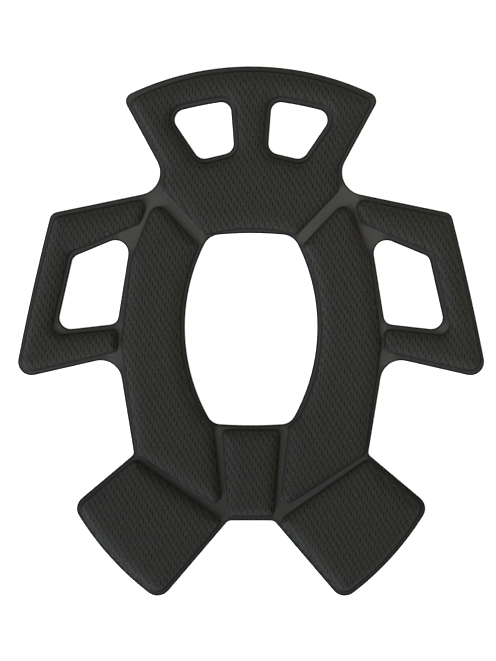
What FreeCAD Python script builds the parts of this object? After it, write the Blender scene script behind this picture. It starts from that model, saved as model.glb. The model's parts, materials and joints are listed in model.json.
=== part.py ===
import FreeCAD, Part
import os
from collections import namedtuple

# Helmet comfort liner, laid out flat with its mesh side up. It is a loop-fabric backing and a mesh face,
# pressed together along the rim and in the channels, with foam inserts between them. Five petals (front,
# two sides, two rear) fold up from the crown at pressed webs, so both fabrics are cut at each fold.
# Millimetres. +Y points to the front of the head, +Z up. The origin is under the middle of the liner.

# Thickness of each layer, and how the inserts are shaped
BACKING = 0.8
FACE = 0.7
FOAM = 5.0
SOFTENED_EDGE = 2.0      # chamfer along the top of a padded area
RIM = 3.0                # pressed width round a front window
FOLD_GAP = 0.8           # width of the cut at a fold

# Where the petals fold
FRONT_FOLD_Y = 96.0
FAR = 200.0              # a distance outside the liner

PAST = 1.0               # how far a cutter runs past what it cuts
LEVEL = 0.01             # edges this close to a height count as being at it

PADDED_TOP = BACKING + FOAM + FACE

# A corner is given before it is rounded. Its bow is how far the edge that leaves it swells outwards.
Corner = namedtuple("Corner", "x y radius bow", defaults=(0,))

# Outlines run anticlockwise. Those that cross the middle give the left half only, from top to bottom.
LINER = [
    Corner(-80.0, 145.8, 5.5),
    Corner(-49.4, 89.3, 14.0),
    Corner(-124.4, 73.8, 5.5, 0.9),
    Corner(-147.2, -29.7, 8.5),
    Corner(-82.8, -15.0, 13.0),
    Corner(-72.8, -76.0, 3.0),
    Corner(-110.8, -107.9, 8.5, 4.5),
    Corner(-56.8, -167.2, 9.0),
    Corner(-14.2, -117.3, 4.0),
]
LINER_TOP_BOW = 19.3

CENTRE_OPENING = [
    Corner(-26.2, 59.8, 11.0, 15.9),
    Corner(-24.2, -57.0, 9.0, 1.0),
]
CENTRE_OPENING_TOP_BOW = 1.6

FRONT_WINDOW = [
    Corner(-51.4, 135.7, 6.5),
    Corner(-31.9, 106.9, 6.5),
    Corner(-10.5, 112.0, 6.5),
    Corner(-12.9, 143.6, 6.0, 0.8),
]

SIDE_WINDOW = [
    Corner(-110.7, 46.7, 5.5),
    Corner(-121.1, 0.8, 7.0),
    Corner(-83.2, 5.1, 5.5),
    Corner(-74.2, 61.8, 8.0),
]

# Feet of the padded areas
FRONT_PAD = [
    Corner(-75.4, 143.3, 4.0),
    Corner(-53.4, 101.8, 9.0),
    Corner(-54.6, 88.0, 3.0),
    Corner(-28.2, 60.2, 3.0, -3.9),
]
FRONT_PAD_TOP_BOW = 18.6

CROWN_PAD = [
    Corner(-59.3, 82.6, 6.0),
    Corner(-74.2, 45.5, 10.0),
    Corner(-80.9, -8.0, 25.0),
    Corner(-70.5, -76.3, 3.0),
    Corner(-17.8, -110.4, 4.5),
    Corner(-23.4, -59.2, 3.0),
    Corner(-30.2, -52.8, 9.0, -12.5),
    Corner(-32.3, 53.9, 3.0),
]

REAR_CENTRE_PAD = [
    Corner(-18.1, -61.0, 3.0),
    Corner(-14.3, -114.3, 4.0),
]

SIDE_PAD = [
    Corner(-65.3, 82.6, 4.0),
    Corner(-122.3, 70.9, 4.0, 0.9),
    Corner(-144.4, -26.1, 6.5),
    Corner(-82.9, -12.0, 3.0),
    Corner(-82.9, 1.7, 3.0),
    Corner(-124.8, -2.6, 6.0),
    Corner(-113.2, 49.0, 5.0),
    Corner(-69.5, 67.1, 4.5, 1.2),
]

REAR_PAD = [
    Corner(-71.8, -79.1, 3.0),
    Corner(-107.0, -108.6, 5.5, 4.2),
    Corner(-57.2, -163.5, 6.5),
    Corner(-17.5, -117.0, 4.0),
]

# Areas that a left petal takes from the liner. Each crosses it only at a fold, where a web joins the crown.
LEFT_SIDE_PETAL = [
    (-63.0, 95.0),
    (-64.0, 78.0),
    (-66.2, 70.0),
    (-80.0, 50.5),
    (-85.5, 10.0),
    (-81.4, 1.5),
    (-81.4, -10.0),
    (-88.0, -30.0),
    (-FAR, -45.0),
    (-FAR, 95.0),
]
LEFT_REAR_PETAL = [
    (-89.75, -64.5),
    (-FAR, -64.5),
    (-FAR, -FAR),
    (-5.0, -FAR),
    (-5.0, -124.0),
]
FRONT_PETAL = [
    (-FAR, FRONT_FOLD_Y),
    (FAR, FRONT_FOLD_Y),
    (FAR, FAR),
    (-FAR, FAR),
]


def both_halves(left, top_bow=0):
    """The whole outline of something symmetric, from its left half."""
    bows = [top_bow] + [corner.bow for corner in left[:-1]]
    right = [Corner(-c.x, c.y, c.radius, bow) for c, bow in zip(left, bows)]
    return left + right[::-1]


def bowed_edge(start, end, bow):
    """A straight edge, or an arc that swells to the right of the way from start to end."""
    if bow == 0:
        return Part.makeLine(start, end)
    along = end - start
    outwards = FreeCAD.Vector(along.y, -along.x, 0).normalize()
    middle = (start + end) * 0.5 + outwards * bow
    return Part.Arc(start, middle, end).toShape()


def rounded_wire(corners):
    """A closed wire through the corners, each rounded by its radius."""
    points = [FreeCAD.Vector(c.x, c.y, 0) for c in corners]
    count = len(corners)
    edges = [
        bowed_edge(points[i], points[(i + 1) % count], corners[i].bow)
        for i in range(count)
    ]
    arcs = []
    for i in range(count):
        fillet = Part.ChFi2d.FilletAlgo(edges[i - 1], edges[i], Part.Plane())
        fillet.perform(corners[i].radius)
        arc, edges[i - 1], edges[i] = fillet.result(points[i])
        arcs.append(arc)
    return Part.Wire(Part.__sortEdges__(edges + arcs))


def polygon(points):
    """A closed wire of straight edges."""
    corners = [FreeCAD.Vector(x, y, 0) for x, y in points]
    return Part.makePolygon(corners + corners[:1])


def prism(wire, bottom, top):
    """The wire's area, solid from one height to another."""
    solid = Part.Face(wire).extrude(FreeCAD.Vector(0, 0, top - bottom))
    solid.translate(FreeCAD.Vector(0, 0, bottom))
    return solid


def mirrored(shape):
    """The same thing on the right."""
    return shape.mirror(FreeCAD.Vector(0, 0, 0), FreeCAD.Vector(1, 0, 0))


def liner_openings():
    """The wires of all five holes in the liner."""
    left = [rounded_wire(FRONT_WINDOW), rounded_wire(SIDE_WINDOW)]
    right = [mirrored(wire) for wire in left]
    centre = rounded_wire(both_halves(CENTRE_OPENING, CENTRE_OPENING_TOP_BOW))
    return [centre] + left + right


def liner_sheet(bottom, top):
    """One layer of the whole liner, with its openings."""
    sheet = prism(rounded_wire(both_halves(LINER, LINER_TOP_BOW)), bottom, top)
    holes = [prism(wire, bottom - PAST, top + PAST) for wire in liner_openings()]
    return sheet.cut(holes)


def softened(solid, top):
    """The solid with its edges at the given height taken off."""
    edges = [edge for edge in solid.Edges if edge.BoundBox.ZMin > top - LEVEL]
    return solid.makeChamfer(SOFTENED_EDGE, edges)


def padded_area(outline, windows, inset, top):
    """A padded area from the backing up to a height, shrunk all round by an inset."""
    wire = rounded_wire(outline)
    if inset > 0:
        wire = wire.makeOffset2D(-inset)
    solid = prism(wire, BACKING, top)
    for window in windows:
        hole = window.makeOffset2D(RIM + inset)
        solid = solid.cut(prism(hole, BACKING - PAST, top + PAST))
    return softened(solid, top)


def pads():
    """Each padded area's name, outline and windows. The left ones are mirrored for the right."""
    window = rounded_wire(FRONT_WINDOW)
    front = both_halves(FRONT_PAD, FRONT_PAD_TOP_BOW)
    return {
        "front": (front, [window, mirrored(window)]),
        "rear_centre": (both_halves(REAR_CENTRE_PAD), []),
        "left_crown": (CROWN_PAD, []),
        "left_side": (SIDE_PAD, []),
        "left_rear": (REAR_PAD, []),
    }


def with_right_sides(solids):
    """The named solids, and a right one for every left one."""
    right = {
        name.replace("left", "right"): mirrored(solid)
        for name, solid in solids.items()
        if name.startswith("left")
    }
    return {**solids, **right}


def foam_inserts():
    """The eight inserts, each filling its padded area under the face fabric."""
    top = BACKING + FOAM
    return with_right_sides({
        name: padded_area(outline, windows, FACE, top)
        for name, (outline, windows) in pads().items()
    })


def face_fabric(inserts):
    """The mesh face, flat on the backing in the channels and raised over each insert."""
    raised = with_right_sides({
        name: padded_area(outline, windows, 0, PADDED_TOP)
        for name, (outline, windows) in pads().items()
    })
    web = liner_sheet(BACKING, BACKING + FACE)
    return web.fuse(list(raised.values())).cut(list(inserts.values()))


def petal_areas():
    """For each petal, the wire round the part of the liner that it takes."""
    left = {"left_side": polygon(LEFT_SIDE_PETAL), "left_rear": polygon(LEFT_REAR_PETAL)}
    return {"front": polygon(FRONT_PETAL), **with_right_sides(left)}


def split_at_folds(layer):
    """The layer's crown and its petals, with a narrow gap between them at each fold."""
    half_gap = FOLD_GAP / 2
    pieces = {}
    rest = layer
    for name, wire in petal_areas().items():
        petal = prism(wire.makeOffset2D(-half_gap), -PAST, PADDED_TOP + PAST)
        cleared = prism(wire.makeOffset2D(half_gap), -PAST, PADDED_TOP + PAST)
        pieces[name] = layer.common(petal)
        rest = rest.cut(cleared)
    pieces["crown"] = rest
    return pieces


def front_insert_pieces(insert):
    """The front insert on each side of the front fold."""
    pieces = split_at_folds(insert)
    return {"front_foam": pieces["front"], "waist_foam": pieces["crown"]}


def liner_nodes():
    """Every separate piece, by the name of its node."""
    inserts = foam_inserts()
    nodes = {f"{name}_foam": solid for name, solid in inserts.items() if name != "front"}
    nodes.update(front_insert_pieces(inserts["front"]))
    for name, solid in split_at_folds(liner_sheet(0, BACKING)).items():
        nodes[f"{name}_backing"] = solid
    for name, solid in split_at_folds(face_fabric(inserts)).items():
        nodes[f"{name}_face"] = solid
    return nodes


os.makedirs("parts", exist_ok=True)
for node, shape in liner_nodes().items():
    shape.exportStep(f"parts/{node}.step")
    print(node, "solids", len(shape.Solids), "volume", round(shape.Volume), "valid", shape.isValid())
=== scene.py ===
# Helmet comfort liner, laid out flat with its mesh side up. Its outlines come from the CAD's undersides.
# One top surface is laid over all of it, swelled by a cloth simulation, and then cut into the crown, the
# petals and the webs at the folds. Each piece gets a mesh cover and a loop backing, and each pad its foam.
# Metres, in the CAD's frame: +Y is the front of the head, +Z is up.
import json

import bpy
import numpy as np
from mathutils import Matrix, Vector
from mathutils.geometry import delaunay_2d_cdt
from mathutils.kdtree import KDTree


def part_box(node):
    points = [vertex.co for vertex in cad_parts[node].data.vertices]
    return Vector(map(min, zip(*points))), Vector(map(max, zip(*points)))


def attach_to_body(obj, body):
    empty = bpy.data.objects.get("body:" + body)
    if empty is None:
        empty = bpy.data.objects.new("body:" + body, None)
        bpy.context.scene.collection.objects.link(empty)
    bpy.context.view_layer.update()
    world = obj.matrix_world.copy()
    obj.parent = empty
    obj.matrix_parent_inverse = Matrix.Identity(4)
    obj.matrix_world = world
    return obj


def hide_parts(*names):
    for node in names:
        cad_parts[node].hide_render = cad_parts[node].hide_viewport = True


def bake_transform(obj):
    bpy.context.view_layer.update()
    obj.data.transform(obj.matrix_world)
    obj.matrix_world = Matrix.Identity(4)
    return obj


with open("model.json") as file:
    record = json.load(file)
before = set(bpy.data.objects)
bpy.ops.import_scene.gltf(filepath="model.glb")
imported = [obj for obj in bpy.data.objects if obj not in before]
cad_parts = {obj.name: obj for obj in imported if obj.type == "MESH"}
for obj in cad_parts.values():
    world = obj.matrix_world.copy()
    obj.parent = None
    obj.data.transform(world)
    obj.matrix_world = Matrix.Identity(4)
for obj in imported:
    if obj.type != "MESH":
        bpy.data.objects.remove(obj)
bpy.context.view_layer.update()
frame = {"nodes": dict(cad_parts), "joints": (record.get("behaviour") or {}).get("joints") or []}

MM = 0.001

# Heights from the CAD
BACKING_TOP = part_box("crown_backing")[1].z
PAD_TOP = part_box("crown_face")[1].z
FACE = PAD_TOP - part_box("left_crown_foam")[1].z   # the mesh's thickness
WEB_TOP = BACKING_TOP + FACE

# Surface
STEP = 1.25 * MM              # distance between points
ROW = 0.866 * STEP            # distance between rows of a hexagonal grid
RING_GAP = 0.3 * STEP         # what a ring's points keep from outlines, feet and seams
GRID_GAP = 0.62 * STEP        # what the grid's points keep from all the others
RING_SLACK = 0.04             # how far off, for its size, a ring's depth may be
CLOSEST = 0.2 * MM            # points nearer than this become one
SLIVER = 0.001 * MM ** 2      # triangles smaller than this along an outline are left out
FLANK = 6.0 * MM              # width of the slope round a pad
FLANK_POWER = 2.7             # higher is a steeper foot and a rounder shoulder
PAD_RINGS = [0.6 * MM, 1.4 * MM, 2.5 * MM, 3.8 * MM]   # rows of points, inwards from a pad's foot
RIM_ROUND = 1.2 * MM          # width of the rounding along the liner's own edge
RIM_DROP = 0.45 * MM          # how far the top falls over that width
RIM_RINGS = [0.4 * MM, 1.0 * MM]       # rows of points, inwards from the liner's edge
UNDER_ROUND = 0.25 * MM       # how far the backing's lower edge lifts
FOAM_CLEARANCE = 0.03 * MM    # gap between a pad's foam and the mesh

# Swelling
START_SHARE = 0.93            # a pad's height before it swells
PRESSURE = 0.3
SIM_SCALE = 10.0              # simulated this many times as large, where cloth settings behave
SIM_FRAMES = 14
SIM_QUALITY = 3               # steps for each frame
SWELL_LIMIT = 1.1 * MM        # no point moves further than this

# Where petals meet the crown. Points and directions are for the left.
FRONT_BEND = (92.0 * MM, 110.0 * MM)   # y of its start and end
REAR_BEND = (-1.6 * MM, 1.5 * MM)      # measured outwards from the joint
REAR_FROM_Y = -60.0 * MM      # a petal behind this is a rear one
REAR_REACH = 38.0 * MM        # how far the cut at each fold runs each way
FRONT_REACH = 62.0 * MM
WEB_REACH = 32.0 * MM
BETWEEN_WEBS_Y = 30.0 * MM    # between a side petal's two webs

# Tolerances, and finding the outlines
LEVEL = 0.01 * MM             # heights and depths closer than this are the same
TOUCHING = LEVEL * 0.1        # points closer than this are the same
EQUAL = LEVEL * 0.01          # distances closer than this are equal
NO_LENGTH = 1e-12             # stands in for nothing where a length divides
PLACES = 7                    # decimals kept to match the ends of edges
ON_THE_FOOT = 0.05 * MM       # a point this close to a pad's foot is on it
ACROSS_A_CUT = 0.95 * MM      # edges closer than this to another node run along a cut
CHUNK = 400                   # points worked on together

# The mesh's slits stand on a lattice with a second one halfway. Millimetres.
SLIT_ACROSS = np.array([3.70, 0.44])
SLIT_UP = np.array([0.58, 5.77])
SLIT_HALF_WIDTH = 0.4
SLIT_HALF_LENGTH = 2.0
SLIT_LEAN = 0.04              # how far a slit's top leans to the left, for its height
SLIT_EDGE = (1.2, 0.65)       # where a slit starts and is full, as shares of its half sizes
SLIT_WANDER = 0.7             # how unevenly the slits stand
SLIT_FAINTEST = 0.7           # the faintest slit's strength

# Where the mesh changes. Millimetres, inwards from the liner's edge or a pad's foot.
KNIT_STARTS = (0.0, 0.8)
# Painted shade: a dark band round each pad's foot, where it meets the channel
FOOT_SHADE_OUTSIDE = (-0.9, -0.1)
FOOT_SHADE_INSIDE = (1.1, 0.3)
FOOT_SHADE_STRENGTH = 0.75
# Painted shade: a black line along the liner's outer edge, where the mesh also loses its reflection and
# sheen
EDGE_LINE = (0.5, 1.3)
RIM_TO_WEB = (3.4, 6.0)       # pressed strips narrower than the first are rims

# Painted shade: the mesh gets darker towards the rear, from the first y to the second, in millimetres
REAR_SHADE_Y = (10.0, -100.0)
REAR_SHADE_PRESSED = 0.5
REAR_SHADE_KNIT = 0.16

# Noise, in repeats per millimetre, and the values between which it takes effect
WANDER_SCALE = 0.35
UNEVEN_SCALE = 0.3
UNEVEN_RANGE = (0.25, 0.75)
TINT_SCALE = 0.12
TINT_RANGE = (0.35, 0.65)
YARN_SCALE = (1.9, 0.75, 1.0)
YARN_RANGE = (0.3, 0.7)
PRESSED_SCALE = 0.05
GRAIN_SCALE = 1.6
PILE_SCALE = 2.4
LOOP_PATCHES = 0.08
CELL_SCALE = 1.4

# Colours. A pair is the darkest and the lightest.
BLACK = (0.003, 0.003, 0.003, 1)
# painted shade round the pads' feet
FOOT_SHADE_COLOUR = (0.004, 0.004, 0.004, 1)
OLIVE_YARN = [(0.0125, 0.0128, 0.0088, 1), (0.0275, 0.0280, 0.0205, 1)]
GREY_YARN = [(0.0125, 0.0122, 0.0108, 1), (0.0275, 0.0268, 0.0240, 1)]
# Pressed mesh: lighter than the yarn partly for its smooth finish and partly as a painted sheen
PRESSED_WEB_AND_SHEEN = [(0.033, 0.0322, 0.0285, 1), (0.048, 0.0462, 0.0410, 1)]
PRESSED_RIM_AND_SHEEN = (0.024, 0.0238, 0.0215, 1)
LOOP_BASE = [(0.012, 0.012, 0.012, 1), (0.022, 0.022, 0.021, 1)]
LOOP_TIP = (0.034, 0.034, 0.033, 1)
FOAM_COLOURS = [(0.012, 0.012, 0.013, 1), (0.05, 0.05, 0.052, 1)]

# Finish
CLOTH_SPECULAR = 0.1
MESH_SHEEN = 0.02
KNIT_ROUGHNESS = 0.8
PRESSED_ROUGHNESS = 0.5
MESH_RELIEF = 0.25 * MM
LOOP_RELIEF = 0.4 * MM
FOAM_RELIEF = 0.3 * MM

# Studio, in metres and watts
FLOOR_SIZE = 6.0
FLOOR_DROP = 0.1 * MM         # so that the floor and the liner's underside don't share a plane
FLOOR_GLOW = 0.55             # keeps the floor plain where the liner shades it
WORLD = 0.55
WORLD_COLOUR = (1.0, 0.985, 0.95, 1)
KEY = {"place": (-2.97, -2.64, 2.31), "size": 2.0, "power": 375, "colour": (0.82, 0.9, 1.0)}
FILL = {"place": (0.75, 0.45, 0.55), "size": 0.4, "power": 4.5, "colour": (1.0, 0.91, 0.80)}
LENS = 85.0                   # millimetres, like the sensor
SENSOR = 36.0
VIEW_LENGTH = 0.4107          # what the picture's long side covers
CAMERA_OFF = Vector((-1.9, 0.9, 0.0)) * MM   # where the camera is, from straight above the origin

BODIES = ["crown", "front", "left_side", "right_side", "left_rear", "right_rear"]
PADS = {
    "left_crown": ["left_crown_foam"],
    "right_crown": ["right_crown_foam"],
    "rear_centre": ["rear_centre_foam"],
    "front": ["front_foam", "waist_foam"],
    "left_side": ["left_side_foam"],
    "right_side": ["right_side_foam"],
    "left_rear": ["left_rear_foam"],
    "right_rear": ["right_rear_foam"],
}


# ---- Outlines ----

def underside_edges(node):
    """The edges round a CAD node's underside, as pairs of (x, y) points."""
    mesh = frame["nodes"][node].data
    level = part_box(node)[0].z
    times = {}
    for face in mesh.polygons:
        points = [mesh.vertices[i].co for i in face.vertices]
        if max(p.z for p in points) > level + LEVEL:
            continue
        keys = [(round(p.x, PLACES), round(p.y, PLACES)) for p in points]
        for edge in zip(keys, keys[1:] + keys[:1]):
            key = tuple(sorted(edge))
            times[key] = times.get(key, 0) + 1
    return [edge for edge, count in times.items() if count == 1]


def joined_edges(nodes):
    """The edges round nodes that are parts of one sheet, without the cuts between them."""
    edges = {node: underside_edges(node) for node in nodes}
    kept = []
    for node in nodes:
        others = [edge for other in nodes if other != node for edge in edges[other]]
        if not others:
            kept += edges[node]
            continue
        middles = np.array(edges[node]).mean(axis=1)
        starts, ends = np.array(others).transpose(1, 0, 2)
        apart = segment_distance(middles, starts, ends)
        kept += [edge for edge, gap in zip(edges[node], apart) if gap > ACROSS_A_CUT]
    loose = set()
    for edge in kept:
        loose ^= set(edge)
    loose = sorted(loose)
    while loose:
        end = loose.pop()
        nearest = min(loose, key=lambda p: np.hypot(p[0] - end[0], p[1] - end[1]))
        loose.remove(nearest)
        kept.append((end, nearest))
    return kept


def loops_from(edges):
    """Closed loops of points, from loose edges."""
    neighbours = {}
    for a, b in edges:
        neighbours.setdefault(a, []).append(b)
        neighbours.setdefault(b, []).append(a)
    loops = []
    while neighbours:
        start = min(neighbours)
        loop = [start]
        previous, here = start, neighbours[start][0]
        while here != start:
            loop.append(here)
            a, b = neighbours[here]
            previous, here = here, (b if a == previous else a)
        for point in loop:
            del neighbours[point]
        loops.append(resampled(np.array(loop)))
    return [with_inside_left(loop, loops) for loop in loops]


def with_inside_left(loop, loops):
    """The loop in the direction that has the area between all the loops on its left."""
    starts = np.vstack(loops)
    ends = np.vstack([np.roll(other, -1, axis=0) for other in loops])
    left = is_inside(beside(loop, STEP / 8), starts, ends).mean() > 0.5
    return loop if left else loop[::-1]


def resampled(loop):
    """The loop with its points STEP apart."""
    closed = np.vstack([loop, loop[:1]])
    lengths = np.hypot(*np.diff(closed, axis=0).T)
    along = np.concatenate([[0.0], np.cumsum(lengths)])
    count = round(along[-1] / STEP)
    at = np.arange(count) / count * along[-1]
    return np.column_stack([np.interp(at, along, closed[:, k]) for k in (0, 1)])


# ---- Distances in plan ----

def plan_tree(points):
    """A search tree over points in plan."""
    tree = KDTree(len(points))
    for i, (x, y) in enumerate(points):
        tree.insert((x, y, 0), i)
    tree.balance()
    return tree


def segment_distance(points, starts, ends):
    """How far each point is from the nearest of the segments."""
    way = ends - starts
    squared = np.maximum((way ** 2).sum(axis=1), NO_LENGTH ** 2)
    found = np.empty(len(points))
    for first in range(0, len(points), CHUNK):
        part = slice(first, first + CHUNK)
        dx = points[part, 0, None] - starts[:, 0]
        dy = points[part, 1, None] - starts[:, 1]
        share = np.clip((dx * way[:, 0] + dy * way[:, 1]) / squared, 0, 1)
        dx -= share * way[:, 0]
        dy -= share * way[:, 1]
        found[part] = np.sqrt((dx * dx + dy * dy).min(axis=1))
    return found


def is_inside(points, starts, ends):
    """Whether each point is inside the closed loops that the segments make."""
    rise = ends[:, 1] - starts[:, 1]
    slope = (ends[:, 0] - starts[:, 0]) / np.where(rise == 0, 1, rise)
    found = np.empty(len(points), bool)
    for first in range(0, len(points), CHUNK):
        part = slice(first, first + CHUNK)
        y = points[part, 1, None]
        spans = (starts[:, 1] > y) != (ends[:, 1] > y)
        crossing = starts[:, 0] + (y - starts[:, 1]) * slope
        found[part] = (spans & (points[part, 0, None] < crossing)).sum(axis=1) % 2 == 1
    return found


def depth(points, loops):
    """How far each point is inside the loops, negative outside. Loops have their inside on the left."""
    here = np.vstack(loops)
    after = np.vstack([np.roll(loop, -1, axis=0) for loop in loops])
    before = np.vstack([np.roll(loop, 1, axis=0) for loop in loops])
    tree = plan_tree(here)
    nearest = np.array([tree.find((x, y, 0))[1] for x, y in points])
    gaps, turns = [], []
    for starts, ends in ((before[nearest], here[nearest]), (here[nearest], after[nearest])):
        way = ends - starts
        length = np.hypot(*way.T)
        offset = points - starts
        along = np.clip((offset * way).sum(axis=1) / length ** 2, 0, 1)
        gaps.append(np.hypot(*(offset - along[:, None] * way).T))
        turns.append((way[:, 0] * offset[:, 1] - way[:, 1] * offset[:, 0]) / length)
    same = np.abs(gaps[0] - gaps[1]) < EQUAL
    turn = np.where(same, turns[0] + turns[1], np.where(gaps[0] < gaps[1], turns[0], turns[1]))
    return np.sign(turn) * np.minimum(*gaps)


def beside(loop, offset):
    """The loop's points moved to its left."""
    way = np.roll(loop, -1, axis=0) - np.roll(loop, 1, axis=0)
    way /= np.hypot(*way.T)[:, None]
    return loop + offset * np.column_stack([-way[:, 1], way[:, 0]])


def rings(loops, wanted):
    """Points at a given depth inside the loops, or outside them if it is negative."""
    points = np.vstack([beside(loop, wanted) for loop in loops])
    return points[np.abs(depth(points, loops) - wanted) < RING_SLACK * abs(wanted) + LEVEL]


# ---- Folds ----

def unit_left(direction):
    """The direction turned a quarter to the left."""
    return np.array([-direction[1], direction[0]]) / np.hypot(*direction)


class SideWeb:
    """A strip that joins a left side petal to the crown, straight each way from a knee."""

    def __init__(self, knee, forwards, backwards, half_width):
        self.knee = np.array(knee) * MM
        self.ways = [np.array(way) / np.hypot(*way) for way in (forwards, backwards)]
        self.half_width = half_width
        self.outwards = [unit_left(self.ways[0]), -unit_left(self.ways[1])]
        self.mitre = sum(self.outwards) / np.hypot(*sum(self.outwards))

    def seams(self):
        """The strip's two long edges, and the line across it at the knee."""
        reach = self.half_width / (self.mitre @ self.outwards[0])
        corners = [self.knee + side * reach * self.mitre for side in (-1, 1)]
        edges = [[c + WEB_REACH * self.ways[0], c, c + WEB_REACH * self.ways[1]] for c in corners]
        return edges + [corners]

    def part_of(self, point):
        """0 in front of the knee, 1 behind it."""
        return 0 if (point - self.knee) @ unit_left(self.mitre) < 0 else 1


# Each side petal's two webs, in millimetres
SIDE_WEBS = {
    "upper_web": SideWeb((-66.3, 69.0), (0.2, 0.98), (-0.5, -0.866), 1.8 * MM),
    "lower_web": SideWeb((-81.8, -9.0), (0.0, 1.0), (-0.3, -0.954), 1.0 * MM),
}
WEB_PARTS = ["fore", "aft"]


def joint_line(name):
    """A joint's point and the level direction from the crown towards its petal."""
    joint = next(j for j in frame["joints"] if j["name"] == name)
    place = np.array(joint["pos_m"][:2])
    return place, unit_left(joint["axis"][:2])


def left_seams():
    """The lines that the surface is cut along on the left."""
    place, away = joint_line("left_rear_fold")
    along = unit_left(away)
    start = place + REAR_BEND[0] * away
    lines = [[start - REAR_REACH * along, start + REAR_REACH * along]]
    for web in SIDE_WEBS.values():
        lines += web.seams()
    return lines


def seam_lines():
    """Every line that the surface is cut along: the left ones, the right ones and the front one."""
    lines = left_seams()
    lines += [[point * (-1, 1) for point in line] for line in lines]
    lines.append([np.array([x, FRONT_BEND[0]]) for x in (-FRONT_REACH, FRONT_REACH)])
    return lines


def region_of(x, y):
    """The name of the region that a point in plan belongs to."""
    if y > FRONT_BEND[0]:
        return "front"
    side = "left" if x < 0 else "right"
    point = np.array([-abs(x), y])
    place, away = joint_line("left_rear_fold")
    if y < REAR_FROM_Y:
        return f"{side}_rear" if (point - place) @ away > REAR_BEND[0] else "crown"
    name = "lower_web" if y < BETWEEN_WEBS_Y else "upper_web"
    web = SIDE_WEBS[name]
    part = web.part_of(point)
    across = (point - web.knee) @ web.outwards[part]
    if across < -web.half_width:
        return "crown"
    if across > web.half_width:
        return f"{side}_side"
    return f"{side}_{name}_{WEB_PARTS[part]}"


# ---- The surface ----

def spaced(points, others, gap):
    """Those of the points that keep their distance from all the others."""
    tree = plan_tree(others)
    return np.array([p for p in points if tree.find((p[0], p[1], 0))[2] > gap])


def hexagonal_grid(low, high):
    """Points STEP apart over a rectangle."""
    rows = np.arange(low[1], high[1], ROW)
    grid = []
    for i, y in enumerate(rows):
        shift = STEP / 2 if i % 2 else 0.0
        grid.append([(x, y) for x in np.arange(low[0] + shift, high[0], STEP)])
    return np.vstack(grid)


def sampled_line(line):
    """A polyline with points STEP apart."""
    points = [line[0]]
    for a, b in zip(line, line[1:]):
        count = max(1, round(np.hypot(*(b - a)) / STEP))
        points += [a + (b - a) * k / count for k in range(1, count + 1)]
    return np.array(points)


def triangulated(liner, foams):
    """Points and triangles over the liner, with edges along outlines, pad feet and seams."""
    feet = [beside(loop, -FACE) for loop in foams]
    lines = [sampled_line(line) for line in seam_lines()]
    lines = [line[depth(line, liner) > -2 * STEP] for line in lines]
    points, edges = [], []
    for chain, closed in [(c, True) for c in liner + feet] + [(c, False) for c in lines]:
        first = sum(len(p) for p in points)
        points.append(chain)
        count = len(chain)
        edges += [(first + i, first + i + 1) for i in range(count - 1)]
        if closed:
            edges.append((first + count - 1, first))
    fixed = np.vstack(points)
    rim = [rings(liner, reach) for reach in RIM_RINGS]
    flanks = [rings(foams, reach - FACE) for reach in PAD_RINGS]
    for ring in rim + flanks:
        fixed = np.vstack([fixed, spaced(ring, fixed, RING_GAP)])
    grid = hexagonal_grid(fixed.min(axis=0), fixed.max(axis=0))
    grid = grid[depth(grid, liner) > 0]
    fixed = np.vstack([fixed, spaced(grid, fixed, GRID_GAP)])
    found = delaunay_2d_cdt([Vector(p) for p in fixed], edges, [], 0, TOUCHING)
    plan = np.array([tuple(p) for p in found[0]])
    triangles = np.array([tuple(face) for face in found[2]])
    triangles = triangles[depth(plan[triangles].mean(axis=1), liner) > 0]
    on_outline = (np.abs(depth(plan, liner)) < LEVEL)[triangles].all(axis=1)
    triangles = triangles[~on_outline | (areas(plan, triangles) > SLIVER)]
    return merged(plan, triangles)


def areas(plan, triangles):
    """The area of each triangle."""
    a, b, c = plan[triangles].transpose(1, 0, 2)
    ab, ac = b - a, c - a
    return (ab[:, 0] * ac[:, 1] - ab[:, 1] * ac[:, 0]) / 2


def merged(plan, triangles):
    """The same surface without points that all but coincide, and without what then has no area."""
    tree = plan_tree(plan)
    near = [tree.find_range((x, y, 0), CLOSEST) for x, y in plan]
    first = np.array([min(found[1] for found in each) for each in near])
    triangles = first[first[triangles]]
    a, b, c = triangles.T
    triangles = triangles[(a != b) & (b != c) & (c != a)]
    used, renumbered = np.unique(triangles, return_inverse=True)
    return plan[used], renumbered.reshape(triangles.shape)


def flank(inwards):
    """0 at a pad's foot, 1 from its shoulder on."""
    share = np.clip(inwards / FLANK, 0, 1)
    return 1 - (1 - share) ** FLANK_POWER


def rounding(inwards, width, drop):
    """How far a rounded edge falls below the flat, at a distance in from it."""
    share = 1 - np.clip(inwards / width, 0, 1)
    return drop * (1 - np.sqrt(1 - share ** 2))


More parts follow.
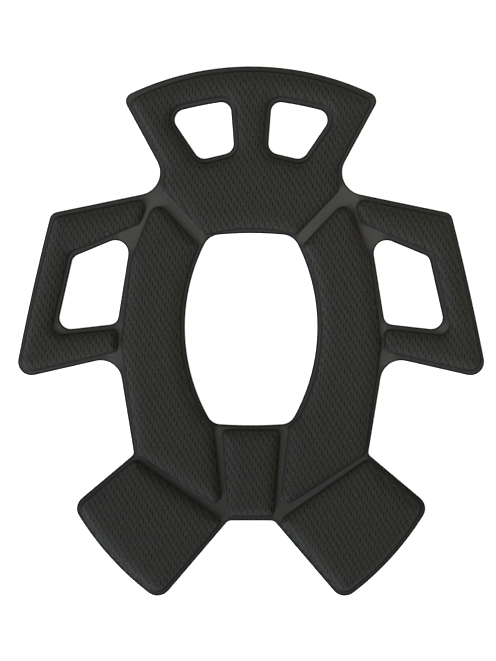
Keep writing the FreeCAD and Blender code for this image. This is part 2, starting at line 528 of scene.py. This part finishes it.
def swelled(points, triangles, held):
    """The surface after pressure swells what isn't held, moved no further than the limit."""
    mesh = bpy.data.meshes.new("swelling")
    mesh.from_pydata((points * SIM_SCALE).tolist(), [], triangles.tolist())
    sheet = bpy.data.objects.new("swelling", mesh)
    scene = bpy.context.scene
    scene.collection.objects.link(sheet)
    group = sheet.vertex_groups.new(name="held")
    group.add([int(i) for i in np.flatnonzero(held)], 1.0, "ADD")
    cloth = sheet.modifiers.new("Cloth", "CLOTH")
    cloth.settings.vertex_group_mass = "held"
    cloth.settings.use_pressure = True
    cloth.settings.uniform_pressure_force = PRESSURE
    cloth.settings.effector_weights.gravity = 0
    cloth.settings.quality = SIM_QUALITY
    cloth.collision_settings.use_collision = False
    cloth.point_cache.frame_end = SIM_FRAMES
    for number in range(1, SIM_FRAMES + 1):
        scene.frame_set(number)
    result = sheet.evaluated_get(bpy.context.evaluated_depsgraph_get()).to_mesh()
    after = np.zeros(len(points) * 3)
    result.vertices.foreach_get("co", after)
    scene.frame_set(1)
    bpy.data.objects.remove(sheet)
    moved = after.reshape(-1, 3) / SIM_SCALE - points
    length = np.maximum(np.linalg.norm(moved, axis=1), NO_LENGTH)
    moved *= (SWELL_LIMIT * np.tanh(length / SWELL_LIMIT) / length)[:, None]
    return points + moved


def normals_of(points, triangles):
    """Each point's normal, from the whole surface."""
    a, b, c = points[triangles].transpose(1, 0, 2)
    normals = np.zeros_like(points)
    for k in range(3):
        np.add.at(normals, triangles[:, k], np.cross(b - a, c - a))
    return normals / np.linalg.norm(normals, axis=1)[:, None]


class Surface:
    """The liner's top, whole, with what its pieces need to know about each point."""

    def __init__(self):
        liner = loops_from(joined_edges([f"{body}_backing" for body in BODIES]))
        foams = [loop for nodes in PADS.values() for loop in loops_from(joined_edges(nodes))]
        self.plan, self.triangles = triangulated(liner, foams)
        self.edge_depth = np.maximum(depth(self.plan, liner), 0)
        self.pad_depth = depth(self.plan, foams) + FACE
        self.pad_depth[np.abs(self.pad_depth) < ON_THE_FOOT] = 0
        height = WEB_TOP - rounding(self.edge_depth, RIM_ROUND, RIM_DROP)
        height += (PAD_TOP - WEB_TOP) * START_SHARE * flank(self.pad_depth)
        start = np.column_stack([self.plan, height])
        self.top = swelled(start, self.triangles, self.pad_depth <= 0)
        self.normals = normals_of(self.top, self.triangles)
        middles = self.plan[self.triangles].mean(axis=1)
        self.regions = np.array([region_of(x, y) for x, y in middles])
        self.in_pad = depth(middles, foams) + FACE > 0
        self.under = self.top.copy()
        self.under[:, 2] = np.maximum(self.top[:, 2] - FACE, BACKING_TOP)


# ---- Pieces ----

def walls_round(triangles, below):
    """The faces that join the open edges of triangles to the points below them."""
    sides = dict.fromkeys(
        edge for a, b, c in triangles.tolist() for edge in ((a, b), (b, c), (c, a))
    )
    walls = []
    for a, b in sides:
        if (b, a) in sides:
            continue
        wall = [b, a, below[a], below[b]]
        wall = [int(p) for i, p in enumerate(wall) if p not in wall[:i]]
        if len(wall) > 2:
            walls.append(wall)
    return walls


def carry(mesh, surface, source):
    """Gives each point its two depths in millimetres, and each corner its place on the flat liner."""
    for label, values in (("pad_depth", surface.pad_depth), ("edge_depth", surface.edge_depth)):
        numbers = mesh.attributes.new(label, "FLOAT", "POINT")
        numbers.data.foreach_set("value", (values[source] / MM).astype(np.float32))
    corners = np.zeros(len(mesh.loops), int)
    mesh.loops.foreach_get("vertex_index", corners)
    flat = mesh.uv_layers.new(name="flat")
    flat.data.foreach_set("uv", surface.plan[source][corners].astype(np.float32).ravel())


def set_normals(mesh, faces, first_normals=None):
    """Gives every corner its face's normal, except that the first ones may have their own."""
    face_normals = np.zeros(len(faces) * 3)
    mesh.polygons.foreach_get("normal", face_normals)
    normals = np.repeat(face_normals.reshape(-1, 3), [len(face) for face in faces], axis=0)
    if first_normals is not None:
        normals[:len(first_normals)] = first_normals
    mesh.normals_split_custom_set(normals.tolist())


def shell(name, surface, triangles, top, bottom, top_normals=None):
    """A closed piece between two versions of the same points. Where they touch, they are one point."""
    apart = np.linalg.norm(top - bottom, axis=1) > TOUCHING
    triangles = triangles[apart[triangles].any(axis=1)]
    used, local = np.unique(triangles, return_inverse=True)
    local = local.reshape(triangles.shape)
    touching = ~apart[used]
    below = np.where(touching, np.arange(len(used)), len(used) + np.cumsum(~touching) - 1)
    points = np.vstack([top[used], bottom[used][~touching]])
    faces = local.tolist() + below[local][:, ::-1].tolist() + walls_round(local, below)
    mesh = bpy.data.meshes.new(name)
    mesh.from_pydata(points.tolist(), [], faces)
    mesh.polygons.foreach_set("use_smooth", [True] * len(faces))
    carry(mesh, surface, np.concatenate([used, used[~touching]]))
    smooth = None if top_normals is None else top_normals[used][local.ravel()]
    set_normals(mesh, faces, smooth)
    piece = bpy.data.objects.new(name, mesh)
    bpy.context.scene.collection.objects.link(piece)
    return piece


def attach(piece, region):
    """Attaches a piece of the crown or of a side petal to its body. Front, rear and web pieces stay loose,
    with their place baked into their points.
    """
    if region == "front":
        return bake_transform(piece)
    if region.endswith("rear"):
        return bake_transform(piece)
    if "web" in region:
        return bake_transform(piece)
    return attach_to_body(piece, region)


def flat_size(surface, triangles):
    """The width, length and area of a region in plan."""
    spread = np.ptp(surface.plan[np.unique(triangles)], axis=0)
    return tuple(float(s) for s in spread), float(areas(surface.plan, triangles).sum())


def region_pieces(surface, kind, top, bottom, material, normals=None):
    """One layer of the liner, as a piece for each region."""
    made = {}
    for region in sorted(set(surface.regions)):
        triangles = surface.triangles[surface.regions == region]
        piece = shell(f"{region}_{kind}", surface, triangles, top, bottom, normals)
        piece.data.materials.append(material)
        made[region] = attach(piece, region)
    return made


def declare_sheets(surface, node_kind):
    """Hides each body's CAD node of this kind, and measures the body's region in plan."""
    for body in BODIES:
        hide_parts(f"{body}_{node_kind}")
        flat, area = flat_size(surface, surface.triangles[surface.regions == body])


def cover(surface):
    """The mesh cover, over the pads and down into the channels."""
    made = region_pieces(
        surface, "cover",
        surface.top, surface.under, mesh_fabric(), surface.normals,
    )
    declare_sheets(surface, "face")


def loop_sheet(surface):
    """The loop backing, flat, with its lower edge a little rounded."""
    top = surface.under.copy()
    top[:, 2] = BACKING_TOP
    top[:, :2] = surface.plan
    floor = top.copy()
    floor[:, 2] = rounding(surface.edge_depth, RIM_ROUND, UNDER_ROUND)
    made = region_pieces(surface, "loop_sheet", top, floor, loop_fabric())
    declare_sheets(surface, "backing")


def pad_fill(surface, material):
    """The foam of each pad, from the backing up to the underside of the cover."""
    floor = surface.under.copy()
    floor[:, 2] = BACKING_TOP
    top = surface.under.copy()
    raised = surface.pad_depth > 0
    top[:, 2] = np.where(raised, np.maximum(top[:, 2] - FOAM_CLEARANCE, BACKING_TOP), BACKING_TOP)
    padded = surface.triangles[surface.in_pad]
    middles = surface.plan[padded].mean(axis=1)
    for name, nodes in PADS.items():
        loops = loops_from(joined_edges(nodes))
        own = padded[depth(middles, loops) + FACE > 0]
        piece = shell(f"{name}_pad_foam", surface, own, top, floor)
        piece.data.materials.append(material)
        if name in ("left_crown", "right_crown", "rear_centre"):
            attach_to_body(piece, "crown")
        elif name == "front":
            attach(piece, "front")
        else:
            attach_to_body(piece, name)
        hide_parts(*nodes)


# ---- Materials ----

def blank(name):
    """A new material, its node tree and its shader."""
    material = bpy.data.materials.new(name)
    material.use_nodes = True
    return material, material.node_tree, material.node_tree.nodes["Principled BSDF"]


def feed(tree, socket, value):
    """Links an output to a socket, or sets its value."""
    if isinstance(value, bpy.types.NodeSocket):
        tree.links.new(value, socket)
    else:
        socket.default_value = value


def calc(tree, operation, *values):
    """A Math node's output."""
    node = tree.nodes.new("ShaderNodeMath")
    node.operation = operation
    for socket, value in zip(node.inputs, values):
        feed(tree, socket, value)
    return node.outputs[0]


def vector(tree, operation, *values, output=0):
    """A Vector Math node's output."""
    node = tree.nodes.new("ShaderNodeVectorMath")
    node.operation = operation
    for socket, value in zip(node.inputs, values):
        feed(tree, socket, value)
    return node.outputs[output]


def scaled(tree, value, factor):
    """A vector times a number."""
    return vector(tree, "SCALE", value, (0, 0, 0), (0, 0, 0), factor)


def eased(tree, value, low, high):
    """0 below low and 1 above high, smooth in between. Low may be the larger."""
    node = tree.nodes.new("ShaderNodeMapRange")
    node.interpolation_type = "SMOOTHSTEP"
    feed(tree, node.inputs["Value"], value)
    first, last = min(low, high), max(low, high)
    node.inputs["From Min"].default_value = first
    node.inputs["From Max"].default_value = last
    node.inputs["To Min"].default_value = 0.0 if low < high else 1.0
    node.inputs["To Max"].default_value = 1.0 if low < high else 0.0
    return node.outputs["Result"]


# A Mix node has several sockets with each name. These are its colour ones.
MIX_FIRST = 6
MIX_SECOND = 7
MIX_RESULT = 2


def mixed(tree, share, first, second):
    """A colour between two."""
    node = tree.nodes.new("ShaderNodeMix")
    node.data_type = "RGBA"
    feed(tree, node.inputs["Factor"], share)
    feed(tree, node.inputs[MIX_FIRST], first)
    feed(tree, node.inputs[MIX_SECOND], second)
    return node.outputs[MIX_RESULT]


def noise(tree, place, scale, detail=2.0):
    """Noise from 0 to 1."""
    node = tree.nodes.new("ShaderNodeTexNoise")
    feed(tree, node.inputs["Vector"], place)
    node.inputs["Scale"].default_value = scale
    node.inputs["Detail"].default_value = detail
    return node.outputs["Fac"], node.outputs["Color"]


def plan_in_mm(tree):
    """Where a point was on the flat liner, in millimetres."""
    uv = tree.nodes.new("ShaderNodeUVMap")
    uv.uv_map = "flat"
    return scaled(tree, uv.outputs[0], 1 / MM)


def attribute(tree, name):
    """A number that the mesh carries for each point."""
    node = tree.nodes.new("ShaderNodeAttribute")
    node.attribute_name = name
    return node.outputs["Fac"]


def bumped(tree, shader, height, strength, distance):
    """Gives the shader a relief."""
    node = tree.nodes.new("ShaderNodeBump")
    feed(tree, node.inputs["Height"], height)
    node.inputs["Strength"].default_value = strength
    node.inputs["Distance"].default_value = distance
    tree.links.new(node.outputs["Normal"], shader.inputs["Normal"])


def slits(tree, place):
    """1 in a slit of the mesh, 0 on its yarn."""
    to_lattice = np.linalg.inv(np.column_stack([SLIT_ACROSS, SLIT_UP]))
    cell = tree.nodes.new("ShaderNodeCombineXYZ")
    for k in (0, 1):
        row = (*to_lattice[k], 0)
        feed(tree, cell.inputs[k], vector(tree, "DOT_PRODUCT", place, row, output=1))
    found = []
    for shift in (0.0, 0.5):
        shifted = vector(tree, "ADD", cell.outputs[0], (shift, shift, 0))
        centred = vector(tree, "SUBTRACT", vector(tree, "FRACTION", shifted), (0.5, 0.5, 0))
        local = tree.nodes.new("ShaderNodeCombineXYZ")
        upwards = np.array([SLIT_ACROSS[1], SLIT_UP[1]])
        across = np.array([SLIT_ACROSS[0], SLIT_UP[0]]) + SLIT_LEAN * upwards
        for k, row in ((0, across / SLIT_HALF_WIDTH), (1, upwards / SLIT_HALF_LENGTH)):
            reach = vector(tree, "DOT_PRODUCT", centred, (*row, 0), output=1)
            feed(tree, local.inputs[k], reach)
        radius = vector(tree, "LENGTH", local.outputs[0], output=1)
        found.append(eased(tree, radius, *SLIT_EDGE))
    return calc(tree, "MAXIMUM", *found)


def knit_colour(tree, place, yarn):
    """The yarn's colour, streaky, more olive in some patches and greyer in others."""
    tint = eased(tree, noise(tree, place, TINT_SCALE, 1.0)[0], *TINT_RANGE)
    return mixed(tree, tint, mixed(tree, yarn, *OLIVE_YARN), mixed(tree, yarn, *GREY_YARN))


def pressed_and_sheen_colour(tree, place, edge, foot):
    """The colour where the mesh is pressed smooth, lighter than the knit partly for that finish and partly
    as a painted sheen. It is darker on a narrow rim than on a broad web.
    """
    web = mixed(tree, noise(tree, place, PRESSED_SCALE)[0], *PRESSED_WEB_AND_SHEEN)
    breadth = calc(tree, "SUBTRACT", edge, foot)
    return mixed(tree, eased(tree, breadth, *RIM_TO_WEB), PRESSED_RIM_AND_SHEEN, web)


def mesh_fabric():
    """Dark warp-knitted mesh over the pads, pressed smooth in the channels and along the edges. Its colour
    holds painted shade at the pads' feet, along the liner's edge and towards the rear, and a painted sheen
    where it is pressed.
    """
    material, tree, shader = blank("mesh_fabric")
    place = plan_in_mm(tree)
    edge = attribute(tree, "edge_depth")
    foot = attribute(tree, "pad_depth")
    wander = vector(tree, "SUBTRACT", noise(tree, place, WANDER_SCALE)[1], (0.5, 0.5, 0.5))
    wandering = vector(tree, "ADD", place, scaled(tree, wander, SLIT_WANDER))
    on_pad = eased(tree, foot, *KNIT_STARTS)
    off_edge = eased(tree, edge, *EDGE_LINE)
    # Painted shade, growing towards the rear
    backwards = eased(tree, vector(tree, "DOT_PRODUCT", place, (0, 1, 0), output=1), *REAR_SHADE_Y)
    uneven = eased(tree, noise(tree, place, UNEVEN_SCALE)[0], *UNEVEN_RANGE)
    strength = calc(tree, "MULTIPLY_ADD", uneven, 1 - SLIT_FAINTEST, SLIT_FAINTEST)
    slit = calc(tree, "MULTIPLY", slits(tree, wandering), on_pad)
    slit = calc(tree, "MULTIPLY", slit, strength)
    yarn = noise(tree, vector(tree, "MULTIPLY", wandering, YARN_SCALE), 1.0, 3.0)[0]
    yarn = eased(tree, yarn, *YARN_RANGE)

    # Pressed colour: partly the smooth finish, partly a painted sheen
    pressed = pressed_and_sheen_colour(tree, place, edge, foot)
    # Painted shade towards the rear, on the pressed mesh and on the knit
    pressed = mixed(tree, calc(tree, "MULTIPLY", backwards, REAR_SHADE_PRESSED), pressed, BLACK)
    # Painted shade: black along the liner's outer edge
    pressed = mixed(tree, off_edge, BLACK, pressed)
    knit = knit_colour(tree, place, yarn)
    knit = mixed(tree, calc(tree, "MULTIPLY", backwards, REAR_SHADE_KNIT), knit, BLACK)
    fabric = mixed(tree, on_pad, pressed, knit)
    # Painted shade in the corner round each pad's foot
    foot_shade = calc(tree, "MULTIPLY", eased(tree, foot, *FOOT_SHADE_OUTSIDE), eased(tree, foot, *FOOT_SHADE_INSIDE))
    fabric = mixed(tree, calc(tree, "MULTIPLY", foot_shade, FOOT_SHADE_STRENGTH), fabric, FOOT_SHADE_COLOUR)
    feed(tree, shader.inputs["Base Color"], mixed(tree, slit, fabric, BLACK))

    roughness = calc(tree, "MULTIPLY_ADD", on_pad, KNIT_ROUGHNESS - PRESSED_ROUGHNESS, PRESSED_ROUGHNESS)
    feed(tree, shader.inputs["Roughness"], roughness)
    feed(tree, shader.inputs["Specular IOR Level"], calc(tree, "MULTIPLY", off_edge, CLOTH_SPECULAR))
    feed(tree, shader.inputs["Sheen Weight"], calc(tree, "MULTIPLY", off_edge, MESH_SHEEN))
    shader.inputs["Sheen Roughness"].default_value = 0.45
    grain = noise(tree, place, GRAIN_SCALE, 3.0)[0]
    relief = calc(tree, "MULTIPLY_ADD", grain, 0.25, calc(tree, "MULTIPLY", yarn, 0.5))
    bumped(tree, shader, calc(tree, "SUBTRACT", relief, slit), 0.4, MESH_RELIEF)
    return material


def loop_fabric():
    """Brushed black loop on the back."""
    material, tree, shader = blank("loop_fabric")
    place = plan_in_mm(tree)
    pile = noise(tree, place, PILE_SCALE, 4.0)[0]
    base = mixed(tree, noise(tree, place, LOOP_PATCHES)[0], *LOOP_BASE)
    feed(tree, shader.inputs["Base Color"], mixed(tree, pile, base, LOOP_TIP))
    shader.inputs["Roughness"].default_value = 0.95
    shader.inputs["Specular IOR Level"].default_value = CLOTH_SPECULAR
    shader.inputs["Sheen Weight"].default_value = 0.04
    bumped(tree, shader, pile, 0.8, LOOP_RELIEF)
    return material


def foam_block():
    """Dark open-cell foam."""
    material, tree, shader = blank("foam")
    cells = tree.nodes.new("ShaderNodeTexVoronoi")
    feed(tree, cells.inputs["Vector"], plan_in_mm(tree))
    cells.inputs["Scale"].default_value = CELL_SCALE
    distance = cells.outputs["Distance"]
    feed(tree, shader.inputs["Base Color"], mixed(tree, distance, *FOAM_COLOURS))
    shader.inputs["Roughness"].default_value = 0.9
    bumped(tree, shader, distance, 0.6, FOAM_RELIEF)
    return material


def floor_paint():
    """A plain, very pale floor."""
    material, tree, shader = blank("floor_paint")
    shader.inputs["Base Color"].default_value = (0.93, 0.93, 0.93, 1)
    shader.inputs["Roughness"].default_value = 0.8
    shader.inputs["Emission Color"].default_value = (1, 1, 1, 1)
    shader.inputs["Emission Strength"].default_value = FLOOR_GLOW
    return material


# ---- Studio ----

def lay_floor(scene):
    """A floor under the liner."""
    half = FLOOR_SIZE / 2
    mesh = bpy.data.meshes.new("floor")
    corners = [(x * half, y * half, -FLOOR_DROP) for x, y in ((-1, -1), (1, -1), (1, 1), (-1, 1))]
    mesh.from_pydata(corners, [], [(0, 1, 2, 3)])
    mesh.materials.append(floor_paint())
    floor = bpy.data.objects.new("floor", mesh)
    scene.collection.objects.link(floor)


def light(scene):
    """An even glow from all round, and two lamps that face the liner."""
    world = bpy.data.worlds.new("studio")
    world.use_nodes = True
    world.node_tree.nodes["Background"].inputs["Color"].default_value = WORLD_COLOUR
    world.node_tree.nodes["Background"].inputs["Strength"].default_value = WORLD
    scene.world = world
    for name, kind in (("key", KEY), ("fill", FILL)):
        data = bpy.data.lights.new(name, "AREA")
        data.size = kind["size"]
        data.energy = kind["power"]
        data.color = kind["colour"]
        lamp = bpy.data.objects.new(name, data)
        lamp.location = kind["place"]
        lamp.rotation_euler = (-Vector(kind["place"])).to_track_quat("-Z", "Y").to_euler()
        scene.collection.objects.link(lamp)


def look(scene):
    """A camera above the liner that looks straight down."""
    camera = bpy.data.cameras.new("camera")
    camera.lens = LENS
    camera.sensor_width = SENSOR
    eye = bpy.data.objects.new("camera", camera)
    eye.location = CAMERA_OFF + Vector((0, 0, WEB_TOP + VIEW_LENGTH * LENS / SENSOR))
    scene.collection.objects.link(eye)
    scene.camera = eye
    scene.view_settings.view_transform = "Standard"


surface = Surface()
cover(surface)
loop_sheet(surface)
pad_fill(surface, foam_block())

lay_floor(bpy.context.scene)
light(bpy.context.scene)
look(bpy.context.scene)
